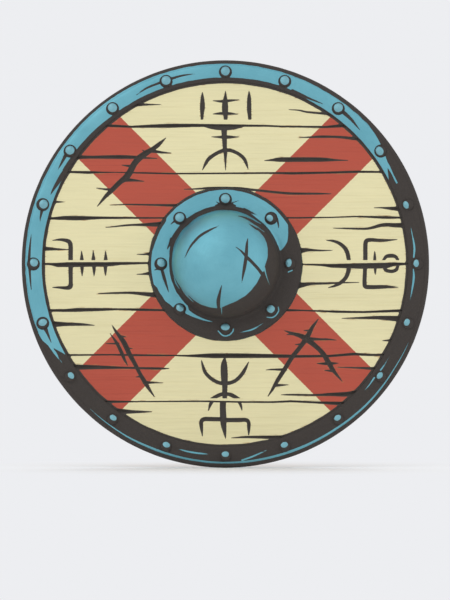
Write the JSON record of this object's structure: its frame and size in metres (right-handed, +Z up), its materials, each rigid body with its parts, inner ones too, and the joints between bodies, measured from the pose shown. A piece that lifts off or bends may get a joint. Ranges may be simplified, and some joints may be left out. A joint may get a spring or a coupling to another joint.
{
  "type": "viking round shield",
  "caption": "Round wooden plank shield with a riveted steel rim, a domed central steel boss over a hand hole, and an upright handle and battens behind the planks.",
  "frame": {"origin": "middle of the hand grip, on the axis of the boss", "axes": "+Z up along the handle, -Y out through the boss towards the front, +X to the right as seen from the front"},
  "size_m": [0.6096, 0.1007, 0.6096],
  "materials": {
    "painted_planks": "matte",
    "blue_steel": "satin",
    "dark_iron": "matte",
    "bare_wood": "matte",
    "leather": "satin"
  },
  "bodies": {
    "root": {"batten_left": "bare_wood", "batten_right": "bare_wood", "boss": "blue_steel", "boss_rivet_1": "blue_steel", "boss_rivet_2": "blue_steel", "boss_rivet_3": "blue_steel", "boss_rivet_4": "blue_steel", "boss_rivet_5": "blue_steel", "boss_rivet_6": "blue_steel", "boss_rivet_7": "blue_steel", "boss_rivet_8": "blue_steel", "boss_rove_1": "dark_iron", "boss_rove_2": "dark_iron", "boss_rove_3": "dark_iron", "boss_rove_4": "dark_iron", "boss_rove_5": "dark_iron", "boss_rove_6": "dark_iron", "boss_rove_7": "dark_iron", "boss_rove_8": "dark_iron", "grip_sleeve": "leather", "handle": "bare_wood", "nail_left_1": "dark_iron", "nail_left_2": "dark_iron", "nail_left_3": "dark_iron", "nail_left_4": "dark_iron", "nail_right_1": "dark_iron", "nail_right_2": "dark_iron", "nail_right_3": "dark_iron", "nail_right_4": "dark_iron", "plank_lower_1": "painted_planks", "plank_lower_2": "painted_planks", "plank_lower_3": "painted_planks", "plank_lower_4": "painted_planks", "plank_upper_1": "painted_planks", "plank_upper_2": "painted_planks", "plank_upper_3": "painted_planks", "plank_upper_4": "painted_planks", "rim": "blue_steel", "rim_rivet_01": "blue_steel", "rim_rivet_02": "blue_steel", "rim_rivet_03": "blue_steel", "rim_rivet_04": "blue_steel", "rim_rivet_05": "blue_steel", "rim_rivet_06": "blue_steel", "rim_rivet_07": "blue_steel", "rim_rivet_08": "blue_steel", "rim_rivet_09": "blue_steel", "rim_rivet_10": "blue_steel", "rim_rivet_11": "blue_steel", "rim_rivet_12": "blue_steel", "rim_rivet_13": "blue_steel", "rim_rivet_14": "blue_steel", "rim_rivet_15": "blue_steel", "rim_rivet_16": "blue_steel", "rim_rivet_17": "blue_steel", "rim_rivet_18": "blue_steel", "rim_rivet_19": "blue_steel", "rim_rivet_20": "blue_steel"}
  },
  "joints": []
}
